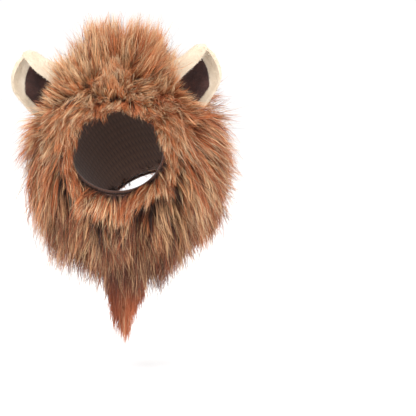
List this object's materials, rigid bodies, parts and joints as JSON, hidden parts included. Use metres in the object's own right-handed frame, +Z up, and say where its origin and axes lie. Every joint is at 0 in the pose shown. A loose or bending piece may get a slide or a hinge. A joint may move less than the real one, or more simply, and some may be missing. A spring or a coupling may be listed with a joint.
{
  "type": "dog lion mane costume",
  "caption": "Faux-fur lion mane hood for a small dog, with cupped plush ears and a pointed chest bib, in its worn form.",
  "frame": {"origin": "where the crown of the head bears on the inside of the hood", "axes": "+Z up, the face opening looks along -Y, the wearer's left is +X, and the neck turns to +X behind"},
  "size_m": [0.2359, 0.2056, 0.3373],
  "materials": {
    "fur": "long russet pile with pale tips",
    "chest": "long pile, dark roots and rust ends",
    "backing": "matte knit",
    "ear_plush": "short cream plush",
    "ear_lining": "short dark plush"
  },
  "bodies": {
    "root": {"hood_backing": "backing", "face_hem": "backing", "neck_hem": "backing", "mane_fur": "fur", "chest_bib": "chest", "left_ear_shell": "ear_plush", "right_ear_shell": "ear_plush", "left_ear_lining": "ear_lining", "right_ear_lining": "ear_lining"}
  },
  "joints": []
}
